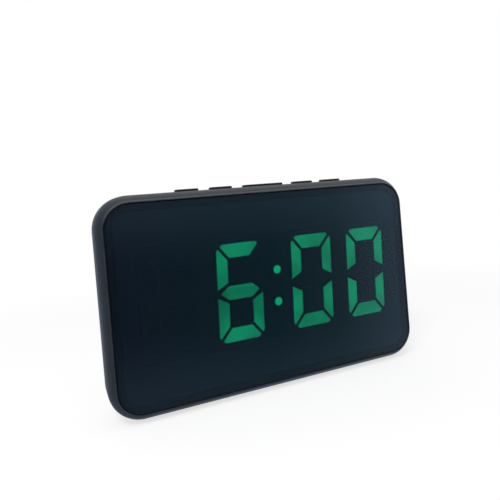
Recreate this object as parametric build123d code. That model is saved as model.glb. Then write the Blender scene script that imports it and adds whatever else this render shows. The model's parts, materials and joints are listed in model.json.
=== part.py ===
from build123d import *
import os
from math import cos, hypot, pi, radians, sin, sqrt, tan

# Digital clock that stands on its lower edge. All sizes are in millimetres.
# The viewer looks along +Y, +X is to the right and +Z is up. A depth is measured back from the
# face plane of the rim, and a height is measured from the middle of the case.

# Case
case_w = 160.7
case_h = 97.1
case_depth = 28.0
case_corner_r = 14.8
cover_share = 3 / 7
wall = 2.0
roll_r = 8.5
roll_depth = 6.5
rim_lip = 0.4
seam_step = 0.4
seam_rebate = 1.0
seam_overlap = 1.5
fit_gap = 0.1

# Back of the rear cover
back_inset = 7.0
back_corner_r = 12.0
back_edge_r = 3.0
back_edge_steps = 3
inner_corner_steps = 3

# Lens and its adhesive ring
lens_t = 2.0
lens_sink = 0.2
lens_gap = 0.3
lens_bevel = 0.25
tape_t = 0.3
tape_w = 3.5
panel_t = 1.8

# Digits
digit_pitch = case_w / 5
colon_pitch = 1.2 * digit_pitch
digit_w = 0.703 * digit_pitch
digit_h = 45.4
bar_t = digit_h / 7
post_t = digit_w / 4.22
mitre_gap = 1.4
corner_cut = 2.9
waist_outer = 1.8
waist_inner = 4.8
middle_tip = 1.6
middle_shoulder = 5.5
slant = 2.2
dot_r = 2.0
dot_spread = digit_h / 2.95
dot_sides = 20
face_shift = 1.4

# Display stack behind the lens
mask_t = 0.25
window_t = 1.2
window_gap = 0.05
window_seat = 0.6
board_space_share = 0.18
reflector_margin = 2.3
reflector_gap = 0.3
board_t = 1.6
board_margin_x = 6.0
board_margin_z = 2.8
led_len = 3.5
led_w = 2.8
led_t = 1.9
dot_led_size = 1.6
board_screw_inset = 4.0

# Buttons and their switches
button_w = 11.0
button_wide_w = 21.0
button_d = 4.5
button_proud = 1.1
button_corner = 0.7
button_edge = 0.3
button_gap = 0.25
button_depth = 0.366 * case_depth
button_inner_x = 22.2
button_outer_x = 39.0
button_travel = 0.5
flange_t = 0.8
flange_rim = 0.9
flange_gap = 0.1
plunger_w = 2.6
plunger_h = 0.8
switch_size = 6.0
switch_h = 3.4
stem_w = 2.4
stem_gap = 0.08
stem_proud = 0.8
stem_in = 0.7
stem_spare = 0.2
key_board_t = 1.2
key_board_front = 4.0
key_board_end = 7.0
key_post_x = 30.6
key_post_h = 6.0
key_web_t = 1.5

# Screws and their posts
round_sides = 20
post_r = 3.6
pilot_r = 1.3
shank_r = 1.25
shank_gap = 0.25
head_r = 2.6
head_t = 1.9
head_gap = 0.3
pilot_spare = 0.5
case_screw_side = 16.35
case_screw_top = 33.0
case_screw_bottom = 37.0
case_head_sink = 9.0
case_screw_tip = 7.0
case_post_short = 0.5
cover_post_wall = 1.2
small_post_w = 4.8
small_pilot_r = 0.95
small_shank_r = 0.9
small_head_r = 1.9
small_head_t = 1.3
small_screw_len = 5.0
small_shank_gap = 0.15
board_screw_share = 2 / 3
shank_sides = 8
small_head_sides = 12

# Battery bay, cells and door
cell_r = 5.25
cell_len = 44.5
cell_nub_r = 2.75
cell_nub_h = 1.0
cell_count = 3
cell_pitch = 11.0
cell_float = 0.1
cell_door_gap = 0.4
bay_z = -8.0
bay_wall = 1.5
bay_side = 0.6
contact_t = 0.4
contact_w = 7.5
contact_h = 8.0
leaf_rise = 1.9
leaf_w = 4.0
leaf_half = 3.2
leaf_flat = 0.6
tail_len = 2.6
tail_w = 2.0
door_rim = 2.0
door_gap = 0.3
door_seat_gap = 0.15
door_corner_r = 3.0
tongue_w = 8.0
tongue_t = 1.5
tongue_reach = 3.0
tongue_x = 16.0
tongue_gap = 0.2
slot_gap = 0.4
thumb_r = 7.0
thumb_depth = 1.1

# Hanging keyholes
keyhole_x = 40.0
keyhole_z = 24.0
keyhole_r = 4.0
keyhole_slot_r = 2.25
keyhole_rise = 9.0
keyhole_pocket = 3.2
keyhole_wall = 1.3

# Power jack
jack_x = 45.0
jack_z = -23.0
jack_body_w = 9.0
jack_body_h = 8.0
jack_body_len = 10.0
jack_nose_r = 3.4
jack_bore_r = 2.75
jack_bore_len = 9.0
jack_pin_r = 1.0
jack_pin_sides = 12
jack_pin_back = 1.5
jack_gap = 0.15
cradle_t = 1.3
cradle_len = 8.0

# Board components
buzzer_x = 46.0
buzzer_z = 0.0
buzzer_r = 6.0
buzzer_h = 8.5
sound_slot_w = 8.0
sound_slot_h = 1.4
sound_slot_pitch = 3.0
sound_slots = 3
chip_x = -42.0
chip_z = 6.0
chip_w = 17.9
chip_h = 7.5
chip_t = 2.4
chip_pins = 14
chip_pin_w = 0.45
chip_pin_out = 1.3
crystal_x = -42.0
crystal_z = -6.0
crystal_r = 1.0
crystal_len = 6.0
chip_pin_t = 0.3
chip_pin_pitch = 1.27
capacitor_x = -46.0
capacitor_up = 10.8
capacitor_r = 2.5
capacitor_h = 7.0
capacitor_pitch = 7.0
lead_r = 0.5
lead_sides = 8
lead_out = 5.0
jack_lead_spread = 2.5
ribbon_w = 8.0
ribbon_t = 0.6
ribbon_x = 0.0
ribbon_clear = 1.55
ribbon_edge = 0.85
ribbon_bend = 0.9
ribbon_land = 6.0

# Feet
pad_r = 3.5
pad_t = 1.5
pad_proud = 0.8
pad_gap = 0.1
pad_side = 18.35
pad_shell_back = 6.0
pad_cover_back = 5.0

# Depths of the layers, front to back
shell_depth = case_depth * (1 - cover_share)
lens_back = lens_sink + lens_t
seat_depth = lens_back + tape_t
panel_back = seat_depth + panel_t
reflector_front = seat_depth + mask_t
cover_inner = case_depth - wall
cell_depth = cover_inner - cell_door_gap - cell_r
bay_floor = cell_depth - cell_r - cell_float
stack_room = bay_floor - bay_wall - board_t - reflector_front
reflector_t = (1 - board_space_share) * stack_room
board_front = reflector_front + reflector_t
board_back = board_front + board_t
board_screw_len = board_screw_share * (board_back - panel_back)
case_post_end = shell_depth - case_post_short
case_head_seat = case_depth - case_head_sink
ribbon_depth = board_back + ribbon_clear
key_board_d = ribbon_depth + ribbon_edge - button_depth + key_board_front
key_board_depth = ribbon_depth + ribbon_edge - key_board_d / 2
pad_front_depth = shell_depth - pad_shell_back
pad_rear_depth = shell_depth + pad_cover_back

# Rim: the rolled edge meets the face plane this far in from the side
roll_inset = roll_r - sqrt(roll_r**2 - roll_depth**2)
seat_inset = roll_inset + rim_lip
lens_inset = seat_inset + lens_gap

# Heights in the frame of the part, whose origin is under the middle of the case
middle_z = pad_proud + case_h / 2
top_z = middle_z + case_h / 2

# Button stack, from the top wall down
flange_top = top_z - wall - flange_gap
flange_bottom = flange_top - flange_t
plunger_bottom = flange_bottom - plunger_h
switch_top = plunger_bottom - stem_proud
key_board_top = switch_top - switch_h
key_board_bottom = key_board_top - key_board_t

# Screws and feet
case_screw_x = case_w / 2 - case_screw_side
pad_x = case_w / 2 - pad_side

# Display module and battery bay
inner_digit_x = colon_pitch / 2
outer_digit_x = inner_digit_x + digit_pitch
digit_offsets = (-outer_digit_x, -inner_digit_x, inner_digit_x, outer_digit_x)
reflector_w = 2 * outer_digit_x + digit_w + digit_h * tan(radians(slant)) + 2 * reflector_margin
reflector_h = digit_h + 2 * reflector_margin
mitre_x = mitre_gap / 2 * hypot(post_t, bar_t) / bar_t
mitre_z = mitre_gap / 2 * hypot(post_t, bar_t) / post_t
board_w = reflector_w + 2 * board_margin_x
board_h = reflector_h + 2 * board_margin_z
capacitor_z = capacitor_up - board_h / 2
bay_w = cell_len + leaf_rise + 2 * contact_t
bay_h = cell_count * cell_pitch + 2 * bay_side
door_w = bay_w + 2 * door_rim
door_h = bay_h + 2 * door_rim
recess_bottom = bay_z - door_h / 2 - door_gap
cell_rows = [bay_z + (row - (cell_count - 1) / 2) * cell_pitch for row in range(cell_count)]


def at_depth(depth):
    """Upright plane that faces the viewer, this far behind the face plane."""
    return Plane.XZ.offset(case_depth / 2 - depth)


def y_at(depth):
    """Y of a depth."""
    return depth - case_depth / 2


def slab(outline, front, back):
    """Solid of an upright outline, from one depth to another."""
    return extrude(at_depth(front) * Pos(0, middle_z) * outline, amount=back - front, dir=(0, 1, 0))


def case_outline(inset):
    """Outline of the case, drawn in by an inset on every side."""
    return RectangleRounded(case_w - 2 * inset, case_h - 2 * inset, case_corner_r - inset)


def rod_back(x, z, r, front, back):
    """Round rod that runs front to back."""
    return slab(Pos(x, z) * Circle(r), front, back)


def block(x, z, w, h, front, back):
    """Rectangular block centred on a point of the face."""
    return slab(Pos(x, z) * Rectangle(w, h), front, back)


def points_at(places, shape):
    """Copies of a flat shape at several points of the face."""
    return Sketch() + [Pos(x, z) * shape for x, z in places]


def case_screw_places():
    """Corners of the case that the four long screws hold."""
    return [(side * case_screw_x, z) for side in (-1, 1) for z in (case_screw_top, -case_screw_bottom)]


def board_screw_places():
    """Corners of the display board."""
    reach_x = reflector_w / 2 + board_margin_x / 2
    reach_z = board_h / 2 - board_screw_inset
    return [(face_shift + sx * reach_x, sz * reach_z) for sx in (-1, 1) for sz in (-1, 1)]


def round_outline(r):
    """Round outline as a plain many-sided shape that lies flat on a side, for small pieces that repeat."""
    return RegularPolygon(r, round_sides, rotation=180 / round_sides)


def shank_outline(r):
    """Outline of a screw's shank or its hole, as a plain many-sided shape."""
    return RegularPolygon(r, shank_sides)


def button_places():
    """Name, distance from the middle and width of each button, left to right."""
    return [
        ("outer_left", face_shift - button_outer_x, button_w),
        ("inner_left", face_shift - button_inner_x, button_w),
        ("wide", face_shift, button_wide_w),
        ("inner_right", face_shift + button_inner_x, button_w),
        ("outer_right", face_shift + button_outer_x, button_w),
    ]


def upright_prism(x, depth, outline, low, high):
    """Solid of a level outline, from one Z to another."""
    return extrude(Pos(x, y_at(depth), low) * outline, amount=high - low, dir=(0, 0, 1))


def pad_places():
    """X and depth of the four feet."""
    return [(side * pad_x, depth) for side in (-1, 1) for depth in (pad_front_depth, pad_rear_depth)]


def pad_pockets():
    """Round pockets that the feet sit in."""
    pocket = round_outline(pad_r + pad_gap)
    return [upright_prism(x, depth, pocket, -pad_t, pad_t) for x, depth in pad_places()]


def segment_shapes():
    """The seven segments of a digit as lists of corners about its middle, before the slant."""
    side, top = digit_w / 2, digit_h / 2
    bar_tip = (corner_cut - mitre_x) / (post_t + bar_t)
    post_tip = (corner_cut - mitre_z) / (post_t + bar_t)
    bar = [
        (side - post_t - mitre_x, top - bar_t),
        (side - mitre_x - bar_tip * post_t, top - bar_tip * bar_t),
        (side - corner_cut, top),
    ]
    bar += [(-x, z) for x, z in reversed(bar)]
    post = [
        (side, waist_outer),
        (side, top - corner_cut),
        (side - post_tip * post_t, top - mitre_z - post_tip * bar_t),
        (side - post_t, top - mitre_z - bar_t),
        (side - post_t, waist_inner),
    ]
    middle = [(side - middle_tip, 0), (side - middle_shoulder, bar_t / 2)]
    middle += [(-x, z) for x, z in reversed(middle)]
    middle += [(-side + middle_shoulder, -bar_t / 2), (side - middle_shoulder, -bar_t / 2)]
    return {
        "top": bar,
        "bottom": [(x, -z) for x, z in reversed(bar)],
        "upper_left": [(-x, z) for x, z in reversed(post)],
        "upper_right": post,
        "lower_left": [(-x, -z) for x, z in post],
        "lower_right": [(x, -z) for x, z in reversed(post)],
        "middle": middle,
    }


def slanted(x, z):
    """A point of a digit, leaned over by the slant."""
    return x + z * tan(radians(slant)), z


def segment_faces(place, names, shrink=0.0):
    """Flat segments of the digit at a place, counted from the left."""
    shapes = segment_shapes()
    offset_x = face_shift + digit_offsets[place]
    faces = []
    for name in names:
        face = Polygon(*[slanted(x, z) for x, z in shapes[name]], align=None)
        if shrink:
            face = offset(face, amount=-shrink, kind=Kind.INTERSECTION)
        faces.append(Pos(offset_x, 0) * face)
    return faces


def dot_places():
    """Middles of the two round dots, which follow the slant."""
    return [(face_shift + slanted(0, z)[0], z) for z in (-dot_spread / 2, dot_spread / 2)]


def dot_faces(shrink=0.0):
    """The two dots, drawn in by an amount."""
    return [Pos(x, z) * RegularPolygon(dot_r - shrink, dot_sides) for x, z in dot_places()]


SEGMENTS = ("top", "upper_left", "upper_right", "middle", "lower_left", "lower_right", "bottom")


def all_windows(shrink=0.0):
    """Every segment and dot, each drawn in by the same amount."""
    faces = [face for place in range(4) for face in segment_faces(place, SEGMENTS, shrink)]
    return Sketch() + faces + dot_faces(shrink)


def window_plates(faces):
    """Light windows, each seated in the front of its cavity."""
    plates = [slab(face, reflector_front, reflector_front + window_t) for face in faces]
    return Compound(children=[solid for plate in plates for solid in plate.solids()])


def reflector_outline(extra):
    """Outline of the display block, grown by a gap or not at all."""
    return Pos(face_shift, 0) * Rectangle(reflector_w + 2 * extra, reflector_h + 2 * extra)


def front_shell():
    """Rim with its rolled edge, side walls, lens seat and everything that stands on the seat's back."""
    front = roll_depth - roll_r
    shell = slab(case_outline(0), front, shell_depth)
    shell = fillet(shell.faces().sort_by(Axis.Y)[0].edges(), roll_r)
    shell -= slab(case_outline(-1), front - 1, 0)
    shell -= slab(case_outline(seat_inset), 0, seat_depth)
    shell -= slab(case_outline(wall), panel_back, shell_depth)
    shell -= slab(case_outline(seam_rebate), shell_depth - seam_overlap, shell_depth)
    shell -= slab(reflector_outline(reflector_gap), seat_depth, panel_back)
    shell += slab(points_at(case_screw_places(), round_outline(post_r)), panel_back, case_post_end)
    small_post = Rectangle(small_post_w, small_post_w)
    shell += slab(points_at(board_screw_places(), small_post), panel_back, board_front)
    for x in key_board_screw_spots():
        shell += key_board_post(x)
    pilots = points_at(case_screw_places(), shank_outline(pilot_r))
    shell -= slab(pilots, case_screw_tip - pilot_spare, case_post_end)
    small_pilot = shank_outline(small_pilot_r)
    small_end = board_back - board_screw_len - pilot_spare
    shell -= slab(points_at(board_screw_places(), small_pilot), small_end, board_front)
    for x in key_board_screw_spots():
        bottom = key_board_top - small_screw_len - pilot_spare
        shell -= upright_prism(x, button_depth, small_pilot, bottom, key_board_bottom)
    for _, x, width in button_places():
        slot = Rectangle(width + 2 * button_gap, button_d + 2 * button_gap)
        shell -= upright_prism(x, button_depth, slot, top_z - 2 * wall, top_z + wall)
    for pocket in pad_pockets():
        shell -= pocket
    return shell


def key_board_post(x):
    """Post under the key board, joined by a web to the back of the lens seat."""
    bottom = key_board_bottom - key_post_h
    post = upright_prism(x, button_depth, Rectangle(small_post_w, small_post_w), bottom, key_board_bottom)
    web_len = button_depth - panel_back
    web = Rectangle(key_web_t, web_len)
    return post + upright_prism(x, panel_back + web_len / 2, web, bottom, key_board_bottom)


def facet_outline(width, height, radius):
    """Rectangle whose round corners are a few straight runs, for the space inside."""
    x, z = width / 2 - radius, height / 2 - radius
    turns = [radians(90) * step / inner_corner_steps for step in range(inner_corner_steps + 1)]
    corner = [(x + radius * sin(turn), z + radius * cos(turn)) for turn in turns]
    right = corner + [(x, -z) for x, z in reversed(corner)]
    return Polygon(*right, *[(-x, -z) for x, z in right], align=None)


def cover_outline(depth, shrink, outline=RectangleRounded):
    """Outline of the rear cover at a depth. It tapers on the sides and the top, not at the bottom."""
    share = (depth - shell_depth) / (case_depth - shell_depth)
    taper = back_inset * share
    width = case_w - 2 * (seam_step + taper + shrink)
    height = case_h - 2 * (seam_step + shrink) - taper
    radius = case_corner_r - seam_step - shrink
    radius += (back_corner_r - case_corner_r + seam_step) * share
    return Pos(0, -taper / 2) * outline(width, height, radius)


def cover_loft(outlines):
    """Tapered solid through outlines of the rear cover, each given with its depth."""
    return loft([at_depth(depth) * Pos(0, middle_z) * outline for depth, outline in outlines], ruled=True)


def cover_outside():
    """Outside of the rear cover, from the seam over the rounded edge to the back."""
    sections = [(shell_depth, 0)] + back_edge_sections()
    return cover_loft([(depth, cover_outline(depth, shrink)) for depth, shrink in sections])


def cover_inside():
    """Space inside the rear cover, one wall in from its outside."""
    depths = (shell_depth, cover_inner)
    return cover_loft([(depth, cover_outline(depth, wall, facet_outline)) for depth in depths])


def back_edge_sections():
    """Depths and insets along the rounded edge round the back."""
    turns = [radians(90) * step / back_edge_steps for step in range(back_edge_steps + 1)]
    return [(case_depth - back_edge_r * (1 - sin(turn)), back_edge_r * (1 - cos(turn))) for turn in turns]


def keyhole_outline():
    """Round hole for a screw's head with a narrow slot above it."""
    slot = Rectangle(2 * keyhole_slot_r, keyhole_rise, align=(Align.CENTER, Align.MIN))
    return Circle(keyhole_r) + slot + Pos(0, keyhole_rise) * Circle(keyhole_slot_r)


def keyhole_space(extra):
    """Outline of the space behind a keyhole, grown by its wall or not at all."""
    height = keyhole_rise + 2 * (keyhole_r + extra)
    width = 2 * (keyhole_r + extra)
    return Pos(0, keyhole_rise / 2) * Rectangle(width, height)


def rear_cover():
    """Tapered back with its tongue, screw posts, battery bay, keyholes and jack cradle."""
    cover = cover_outside() - cover_inside()
    tongue = case_outline(seam_rebate + fit_gap) - case_outline(wall + seam_step)
    cover += slab(tongue, shell_depth - seam_overlap + fit_gap, shell_depth)
    cover += cover_posts()
    cover -= cover_post_holes()
    cover += bay_box()
    for side in (-1, 1):
        spot = Pos(side * keyhole_x, keyhole_z)
        back = cover_inner - keyhole_pocket
        cover += slab(spot * keyhole_space(keyhole_wall), back - keyhole_wall, cover_inner)
        cover -= slab(spot * keyhole_space(0), back, cover_inner)
        cover -= slab(spot * keyhole_outline(), cover_inner, case_depth)
    cover += block(jack_x, jack_z, jack_body_w + 2 * (jack_gap + cradle_t),
                   jack_body_h + 2 * (jack_gap + cradle_t), cover_inner - cradle_len, cover_inner)
    cover -= block(jack_x, jack_z, jack_body_w + 2 * jack_gap, jack_body_h + 2 * jack_gap,
                   cover_inner - cradle_len, cover_inner)
    cover -= rod_back(jack_x, jack_z, jack_nose_r + jack_gap, cover_inner, case_depth)
    cover -= slab(points_at(sound_places(), Rectangle(sound_slot_w, sound_slot_h)), cover_inner, case_depth)
    cover -= door_space()
    for pocket in pad_pockets():
        cover -= pocket
    return cover


def cover_posts():
    """Hollow posts that the long screws pass through, with a sunk seat for each head."""
    head_hole = head_r + head_gap
    outer = points_at(case_screw_places(), round_outline(head_hole + cover_post_wall))
    return slab(outer, case_post_end + fit_gap, cover_inner)


def cover_post_holes():
    """Screw holes and head wells of the rear cover."""
    places = case_screw_places()
    shank = slab(points_at(places, shank_outline(shank_r + shank_gap)), case_post_end, case_head_seat)
    return shank + slab(points_at(places, round_outline(head_r + head_gap)), case_head_seat, case_depth)


def sound_places():
    """Middles of the level slots over the buzzer."""
    rows = [row - (sound_slots - 1) / 2 for row in range(sound_slots)]
    return [(buzzer_x, buzzer_z + row * sound_slot_pitch) for row in rows]


def bay_box():
    """Battery bay and the ledge that the door rests on, still solid."""
    box = block(0, bay_z, bay_w + 2 * bay_wall, bay_h + 2 * bay_wall, bay_floor - bay_wall, cover_inner)
    ledge = 2 * (door_gap + bay_wall)
    return box + block(0, bay_z, door_w + ledge, door_h + ledge, cover_inner - bay_wall, cover_inner)


def door_space():
    """Everything cut from the rear cover for the cells, the contact tails, the door and its tongues."""
    space = block(0, bay_z, bay_w, bay_h, bay_floor, cover_inner)
    recess = RectangleRounded(door_w + 2 * door_gap, door_h + 2 * door_gap, door_corner_r + door_gap)
    space += slab(Pos(0, bay_z) * recess, cover_inner, case_depth)
    reach = hypot(tongue_reach, wall + tongue_gap + tongue_t) + slot_gap
    slot_h = tongue_reach + slot_gap + door_gap + door_rim
    for side in (-1, 1):
        slot = Rectangle(tongue_w + 2 * slot_gap, slot_h, align=(Align.CENTER, Align.MIN))
        slot = Pos(side * tongue_x, recess_bottom - tongue_reach - slot_gap) * slot
        space += slab(slot, case_depth - reach, cover_inner)
    for side, row in tail_rows():
        x = side * (bay_w / 2 + bay_wall / 2)
        space += block(x, row, bay_wall, contact_t + 2 * fit_gap, cell_depth - tail_w / 2 - fit_gap,
                       cell_depth + tail_w / 2 + fit_gap)
    scoop = Pos(0, bay_z + door_h / 2 + door_gap) * Circle(thumb_r)
    return space + slab(scoop, case_depth - thumb_depth, case_depth)


def tail_rows():
    """Side and height of the two contacts that the leads are soldered to."""
    return [(spring_side(0), cell_rows[0]), (-spring_side(cell_count - 1), cell_rows[-1])]


def battery_door():
    """Door flush with the back. Two tongues hook under the lower edge and are its hinge."""
    plate = Pos(0, bay_z) * RectangleRounded(door_w, door_h, door_corner_r)
    inner = cover_inner + door_seat_gap
    door = slab(plate, inner, case_depth)
    hook_back = cover_inner - tongue_gap
    neck_bottom = recess_bottom + door_gap
    neck_top = neck_bottom + tongue_t
    hook_bottom = recess_bottom - tongue_reach
    for side in (-1, 1):
        x = side * tongue_x
        hook_h = neck_top - hook_bottom
        door += block(x, hook_bottom + hook_h / 2, tongue_w, hook_h, hook_back - tongue_t, hook_back)
        door += block(x, neck_bottom + tongue_t / 2, tongue_w, tongue_t, hook_back, inner)
    return door


def front_lens():
    """Flat tinted lens that drops into the rim, with a fine bevel round its front."""
    lens = slab(case_outline(lens_inset), lens_sink, lens_back)
    return chamfer(lens.faces().sort_by(Axis.Y)[0].edges(), lens_bevel)


def lens_tape():
    """Ring of double-sided tape between the lens and its seat."""
    ring = case_outline(lens_inset) - case_outline(lens_inset + tape_w)
    return slab(ring, lens_back, seat_depth)


def segment_mask():
    """Dark film on the display block, with a clear window for each segment and dot."""
    return slab(reflector_outline(0) - all_windows(), seat_depth, reflector_front)


def reflector_frame():
    """Display block with a light well for each segment. A step holds the window in each well."""
    frame = slab(reflector_outline(0), reflector_front, board_front)
    frame -= slab(all_windows(), reflector_front, reflector_front + window_t)
    return frame - slab(all_windows(window_seat), reflector_front + window_t, board_front)


def board_outline():
    """Outline of the display board, which carries the display block."""
    return Pos(face_shift, 0) * Rectangle(board_w, board_h)


def display_board():
    """Circuit board behind the display block, held by four screws."""
    board = slab(board_outline(), board_front, board_back)
    holes = points_at(board_screw_places(), shank_outline(small_shank_r + small_shank_gap))
    return board - slab(holes, board_front, board_back)


def led_places():
    """Middle, width and height of each lamp: two to a segment, at the quarters of its straight part."""
    level_reach = digit_w / 2 - post_t - mitre_x
    level_z = (digit_h - bar_t) / 2
    post_end = digit_h / 2 - bar_t - mitre_z
    post_reach = (post_end - waist_inner) / 2
    upright_x = (digit_w - post_t) / 2
    upright_z = (post_end + waist_inner) / 2
    spots = [(side * level_reach / 2, z, led_len, led_w) for side in (-1, 1) for z in (-level_z, 0, level_z)]
    for x in (-upright_x, upright_x):
        for z in (-upright_z, upright_z):
            spots += [(x, z + side * post_reach / 2, led_w, led_len) for side in (-1, 1)]
    return spots


def segment_leds():
    """Lamps on the display board, one pair in each segment's well and one in each dot's."""
    lamps = []
    for digit_x in digit_offsets:
        for x, z, width, height in led_places():
            lean_x, lean_z = slanted(x, z)
            lamps.append(block(face_shift + digit_x + lean_x, lean_z, width, height, board_front - led_t,
                               board_front))
    for x, z in dot_places():
        lamps.append(block(x, z, dot_led_size, dot_led_size, board_front - led_t, board_front))
    return group(lamps)


def group(pieces):
    """Separate solids that share one node."""
    return Compound(children=[solid for piece in pieces for solid in piece.solids()])


def digit_windows(place, names):
    """Windows of some segments of one digit."""
    return window_plates(segment_faces(place, names, window_gap))


def colon_dots():
    """Two round windows between the middle digits."""
    return window_plates(dot_faces(window_gap))


def button_cap(x, width):
    """Push button: a cap through the top wall, a flange that stops it and a short plunger."""
    outline = chamfer(Rectangle(width, button_d).vertices(), button_corner)
    cap = upright_prism(x, button_depth, outline, flange_top, top_z + button_proud)
    cap = chamfer(cap.faces().sort_by(Axis.Z)[-1].edges(), button_edge)
    flange = Rectangle(width + 2 * flange_rim, button_d + 2 * flange_rim)
    cap += upright_prism(x, button_depth, flange, flange_bottom, flange_top)
    plunger = Rectangle(plunger_w, plunger_w)
    return cap + upright_prism(x, button_depth, plunger, plunger_bottom, flange_bottom)


def switch_stem(x):
    """Square stem of a push switch, which the button's plunger rests on."""
    return upright_prism(x, button_depth, Rectangle(stem_w, stem_w), switch_top - stem_in, plunger_bottom)


def switch_body(x):
    """Square body of a push switch, with a well that its stem sinks into."""
    body = upright_prism(x, button_depth, Rectangle(switch_size, switch_size), key_board_top, switch_top)
    well_bottom = switch_top - stem_in - button_travel - stem_spare
    well = Rectangle(stem_w + 2 * stem_gap, stem_w + 2 * stem_gap)
    return body - upright_prism(x, button_depth, well, well_bottom, switch_top)


def key_board_screw_spots():
    """X of the two screws that hold the key board."""
    return [face_shift + side * key_post_x for side in (-1, 1)]


def key_board():
    """Narrow circuit board that carries the five switches."""
    length = 2 * (button_outer_x + key_board_end)
    outline = Rectangle(length, key_board_d)
    board = upright_prism(face_shift, key_board_depth, outline, key_board_bottom, key_board_top)
    hole = shank_outline(small_shank_r + small_shank_gap)
    for x in key_board_screw_spots():
        board -= upright_prism(x, button_depth, hole, key_board_bottom, key_board_top)
    return board


def key_board_screws():
    """Two small screws that stand in the key board's posts."""
    screws = []
    for x in key_board_screw_spots():
        tip = key_board_top - small_screw_len
        head_top = key_board_top + small_head_t
        screw = upright_prism(x, button_depth, shank_outline(small_shank_r), tip, key_board_top)
        head = RegularPolygon(small_head_r, small_head_sides)
        screws.append(screw + upright_prism(x, button_depth, head, key_board_top, head_top))
    return group(screws)


def key_ribbon():
    """Flat cable from the underside of the key board to the back of the display board."""
    y = y_at(ribbon_depth)
    land_z = middle_z + board_h / 2 - ribbon_land
    top = (ribbon_x, y, key_board_bottom)
    corner = (ribbon_x, y, land_z)
    end = (ribbon_x, y_at(board_back), land_z)
    path = FilletPolyline(top, corner, end, radius=ribbon_bend)
    start = Plane(path @ 0, x_dir=(1, 0, 0), z_dir=path % 0)
    return sweep(start * Rectangle(ribbon_w, ribbon_t), path=path)


def screws_back(places, seat, length, shank, head, head_height):
    """Screws driven from the back, with the underside of the head at a depth."""
    screws = []
    for x, z in places:
        screw = slab(Pos(x, z) * shank_outline(shank), seat - length, seat)
        screws.append(screw + slab(Pos(x, z) * head, seat, seat + head_height))
    return group(screws)


def case_screws():
    """Four long screws that pull the rear cover onto the front shell."""
    length = case_head_seat - case_screw_tip
    return screws_back(case_screw_places(), case_head_seat, length, shank_r, round_outline(head_r), head_t)


def board_screws():
    """Four small screws that hold the display board on its posts."""
    head = RegularPolygon(small_head_r, small_head_sides)
    return screws_back(board_screw_places(), board_back, board_screw_len, small_shank_r, head, small_head_t)


def rod_across(x_start, x_end, depth, z, outline):
    """Rod of an outline that runs from side to side."""
    spot = Plane.YZ.offset(x_start) * Pos(y_at(depth), middle_z + z)
    return extrude(spot * outline, amount=x_end - x_start)


def spring_side(row):
    """Side of the bay where the cell of a row has its flat end. It changes from row to row."""
    return -1 if row % 2 == 0 else 1


def cell(row):
    """Round cell lying across the bay, its flat end on a leaf and its nub on the plate opposite."""
    side = spring_side(row)
    flat_end = side * (bay_w / 2 - contact_t - leaf_rise)
    shoulder = flat_end - side * (cell_len - cell_nub_h)
    can = rod_across(flat_end, shoulder, cell_depth, cell_rows[row], round_outline(cell_r))
    nub = round_outline(cell_nub_r)
    return can + rod_across(shoulder, shoulder - side * cell_nub_h, cell_depth, cell_rows[row], nub)


def contact(side, rows):
    """Contact plate on one end wall of the bay, with a sprung leaf wherever a cell's flat end meets it."""
    inner_x = side * (bay_w / 2 - contact_t)
    low = cell_rows[rows[0]] - contact_w / 2
    high = cell_rows[rows[-1]] + contact_w / 2
    plate = block(inner_x + side * contact_t / 2, (low + high) / 2, contact_t, high - low,
                  cell_depth - contact_h / 2, cell_depth + contact_h / 2)
    for row in rows:
        if spring_side(row) == side:
            plate += contact_leaf(inner_x, -side, middle_z + cell_rows[row])
    return plate


def contact_leaf(x, direction, z):
    """Strip that arches out from a contact plate."""
    rise = direction * leaf_rise
    arch = Polygon((0, -leaf_half), (rise, -leaf_flat), (rise, leaf_flat), (0, leaf_half), align=None)
    strip = arch - Pos(-direction * contact_t, 0) * arch
    return upright_prism(x, cell_depth, strip, z - leaf_w / 2, z + leaf_w / 2)


def battery_contacts():
    """Four contact plates that join the cells in a row. The first and last have a tail through the wall."""
    last = cell_count - 1
    plates = []
    for side in (-1, 1):
        first = 0 if side == 1 else 1
        pairs = [[row, row + 1] for row in range(first, last, 2)]
        alone = [[row] for row in range(cell_count) if not any(row in pair for pair in pairs)]
        plates += [contact(side, rows) + contact_tails(side, rows) for rows in pairs + alone]
    return group(plates)


def contact_tails(side, rows):
    """Tail of a contact that a lead is soldered to, if it has one."""
    tails = Part()
    for tail_side, z in tail_rows():
        if tail_side == side and z in [cell_rows[row] for row in rows]:
            x = side * (bay_w / 2 + tail_len / 2)
            tails += block(x, z, tail_len, contact_t, cell_depth - tail_w / 2, cell_depth + tail_w / 2)
    return tails


def lead(points):
    """Insulated wire along straight runs, with a plain many-sided section."""
    path = Polyline(*points)
    section = Plane(path @ 0, z_dir=path % 0) * RegularPolygon(lead_r, lead_sides)
    return sweep(section, path=path, transition=Transition.RIGHT)


def battery_leads():
    """Two wires from the outer contacts to the back of the display board."""
    wires = []
    for side, row in tail_rows():
        z = middle_z + row
        start_x = side * (bay_w / 2 + tail_len)
        end_x = start_x + side * lead_out
        back_y, board_y = y_at(cell_depth), y_at(board_back)
        wires.append(lead([(start_x, back_y, z), (end_x, back_y, z), (end_x, board_y, z)]))
    return group(wires)


def power_jack():
    """Round socket for a low-voltage plug, with its centre pin."""
    jack = block(jack_x, jack_z, jack_body_w, jack_body_h, cover_inner - jack_body_len, cover_inner)
    jack += rod_back(jack_x, jack_z, jack_nose_r, cover_inner, case_depth)
    bore_end = case_depth - jack_bore_len
    jack -= rod_back(jack_x, jack_z, jack_bore_r, bore_end, case_depth)
    pin = Pos(jack_x, jack_z) * RegularPolygon(jack_pin_r, jack_pin_sides)
    return jack + slab(pin, bore_end, case_depth - jack_pin_back)


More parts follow.
